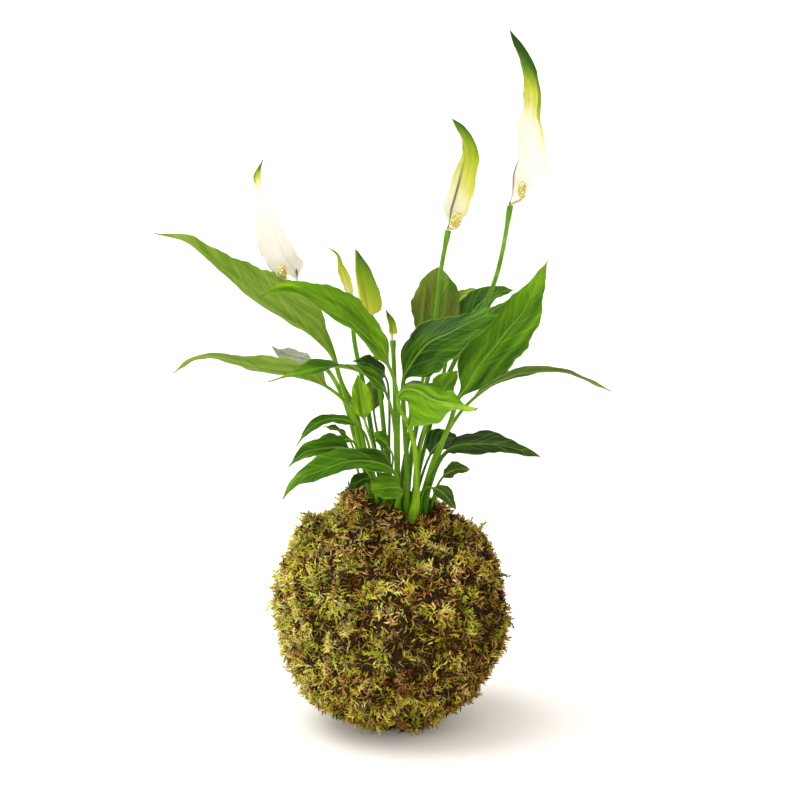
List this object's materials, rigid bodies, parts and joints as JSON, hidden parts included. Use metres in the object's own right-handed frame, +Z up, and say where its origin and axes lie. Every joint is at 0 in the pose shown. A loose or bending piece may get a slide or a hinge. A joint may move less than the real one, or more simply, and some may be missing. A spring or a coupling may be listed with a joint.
{
  "type": "kokedama moss ball plant",
  "caption": "Potless flowering house plant: arching leaves, white and green spathes and buds rising from a thread-bound ball of moss around soil.",
  "frame": {"origin": "centre of the flat resting spot under the moss ball", "axes": "+Z up through the plant, -Y to the front that shows most leaves, +X to the plant's right seen from the front"},
  "size_m": [0.2593, 0.1291, 0.3952],
  "materials": {
    "moss": "matte",
    "soil": "matte",
    "thread": "matte",
    "leaf_green": "satin",
    "leaf_dark": "satin",
    "leaf_pale": "satin",
    "leaf_grey": "matte",
    "stalk_green": "satin",
    "spathe_white": "satin",
    "spathe_green": "satin",
    "spadix_cream": "matte"
  },
  "bodies": {
    "root": {"soil_core": "soil", "moss_cover": "moss", "binding_thread": "thread", "leaf_01": "leaf_pale", "leaf_02": "leaf_pale", "leaf_03": "leaf_green", "leaf_04": "leaf_green", "leaf_05": "leaf_dark", "leaf_06": "leaf_dark", "leaf_07": "leaf_green", "leaf_08": "leaf_dark", "leaf_09": "leaf_dark", "leaf_10": "leaf_grey", "leaf_11": "leaf_dark", "leaf_12": "leaf_green", "leaf_13": "leaf_dark", "leaf_14": "leaf_dark", "leaf_15": "leaf_dark", "leaf_16": "leaf_green", "leaf_17": "leaf_dark", "leaf_18": "leaf_dark", "leaf_19": "leaf_green", "leaf_20": "leaf_dark", "leaf_21": "leaf_dark", "leaf_22": "leaf_green", "leaf_23": "leaf_green", "leaf_24": "leaf_dark", "leaf_25": "leaf_green", "leaf_26": "leaf_pale", "leaf_27": "leaf_green", "flower_1_stalk": "stalk_green", "flower_2_stalk": "stalk_green", "flower_3_stalk": "stalk_green", "bud_1_stalk": "stalk_green", "bud_2_stalk": "stalk_green", "bud_3_stalk": "stalk_green", "faded_flower_stalk": "stalk_green", "spathe_1": "spathe_white", "spathe_2": "spathe_green", "spathe_3": "spathe_white", "bud_spathe_1": "spathe_green", "bud_spathe_2": "leaf_green", "bud_spathe_3": "leaf_green", "faded_spathe": "leaf_grey", "spadix_1": "spadix_cream", "spadix_2": "spadix_cream", "spadix_3": "spadix_cream"}
  },
  "joints": []
}
